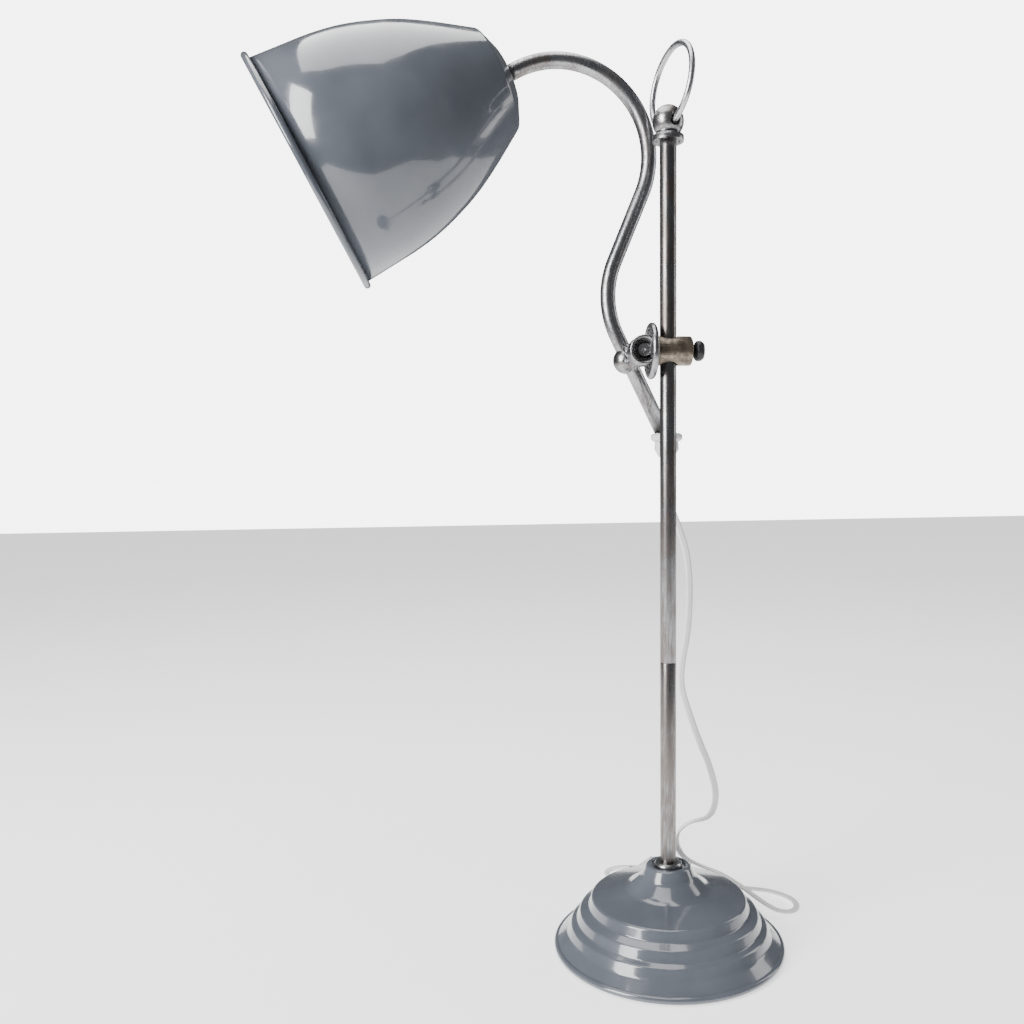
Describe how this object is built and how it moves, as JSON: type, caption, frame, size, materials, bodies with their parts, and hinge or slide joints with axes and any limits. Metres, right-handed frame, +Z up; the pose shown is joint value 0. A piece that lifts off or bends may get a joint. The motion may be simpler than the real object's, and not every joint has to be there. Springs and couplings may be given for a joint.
{
  "type": "desk lamp",
  "caption": "Enamelled desk lamp: weighted dome base, plain rod with a ring finial, sliding clamp, swan-neck arm that swings and tilts, bell shade",
  "frame": {"origin": "centre of the underside of the base, on the rod's axis", "axes": "+Z up along the rod; the arm and shade hang over -X in a plane behind the rod; the viewer stands on the -Y side"},
  "size_m": [0.4161, 0.2256, 0.6789],
  "materials": {
    "enamel": "glossy grey-blue enamel",
    "aged_nickel": "rubbed and darkened plating",
    "clamp_bronze": "brown, worn",
    "zinc": "dull plating",
    "black_steel": "blackened, satin",
    "iron": "rough casting",
    "felt": "dense felt",
    "white_plastic": "satin white",
    "white_flex": "soft white sheath",
    "holder_plastic": "dark moulding",
    "porcelain": "glazed",
    "contact_brass": "plain brass",
    "bulb_glass": "frosted",
    "bulb_metal": "rolled"
  },
  "bodies": {
    "base": {"base_pad": "felt", "base_plate": "zinc", "base_dome": "enamel", "base_weight": "iron", "tail_washer": "zinc", "tail_nut": "zinc", "foot_stud": "zinc", "foot_nut": "aged_nickel", "rod_lower": "aged_nickel", "rod_upper": "aged_nickel", "joint_stud": "zinc", "finial": "aged_nickel", "flex_lead": "white_flex", "flex_hank": "white_flex", "hank_tie": "holder_plastic", "plug_body": "white_plastic", "plug_pins": "contact_brass"},
    "ring": {"finial_ring": "aged_nickel"},
    "slider": {"clamp_sleeve": "zinc"},
    "clamp": {"clamp_block": "clamp_bronze", "knuckle": "aged_nickel"},
    "screw": {"thumbscrew": "black_steel", "thumbscrew_knob": "black_steel"},
    "wheel": {"lock_wheel": "aged_nickel"},
    "arm": {"arm_fitting": "aged_nickel", "grub_screw": "zinc", "pivot_screw": "zinc", "pivot_spacer": "zinc", "arm_tube": "aged_nickel", "arm_gland": "white_plastic", "strain_relief": "white_plastic", "inner_flex": "white_flex", "shade_shell": "enamel", "shade_nipple": "zinc", "shade_washer": "zinc", "shade_nut": "zinc", "holder_cap": "holder_plastic", "holder_skirt": "holder_plastic", "holder_core": "porcelain", "centre_contact": "contact_brass", "bulb_cap": "bulb_metal", "bulb_glass": "bulb_glass"},
    "bar": {"switch_bar": "holder_plastic"}
  },
  "joints": [
    {"name": "height_slide", "type": "slide", "parent": "base", "child": "slider", "axis": [0, 0, 1], "range_m": [-0.28, 0.002], "deforming": ["flex_lead"]},
    {"name": "arm_swing", "type": "hinge", "parent": "slider", "child": "clamp", "pos_m": [0, 0, 0.4494], "axis": [0, 0, 1], "range_deg": [-2, 140], "deforming": ["flex_lead"]},
    {"name": "arm_tilt", "type": "hinge", "parent": "clamp", "child": "arm", "pos_m": [-0.01875, 0.031, 0.4494], "axis": [0, -1, 0], "range_deg": [-0.5, 55], "deforming": ["flex_lead"]},
    {"name": "ring_lean", "type": "hinge", "parent": "base", "child": "ring", "pos_m": [0, 0, 0.6063], "axis": [-0.2974, 0.9548, 0], "range_deg": [0, 112]},
    {"name": "thumbscrew_turn", "type": "hinge", "parent": "clamp", "child": "screw", "pos_m": [0.0183, 0, 0.4494], "axis": [1, 0, 0], "range_deg": [-180, 180]},
    {"name": "lock_wheel_turn", "type": "hinge", "parent": "clamp", "child": "wheel", "pos_m": [-0.0113, 0, 0.4494], "axis": [1, 0, 0], "range_deg": [-180, 180]},
    {"name": "switch_press", "type": "slide", "parent": "arm", "child": "bar", "axis": [0, 1, 0], "range_m": [-0.003, 0.003]}
  ]
}
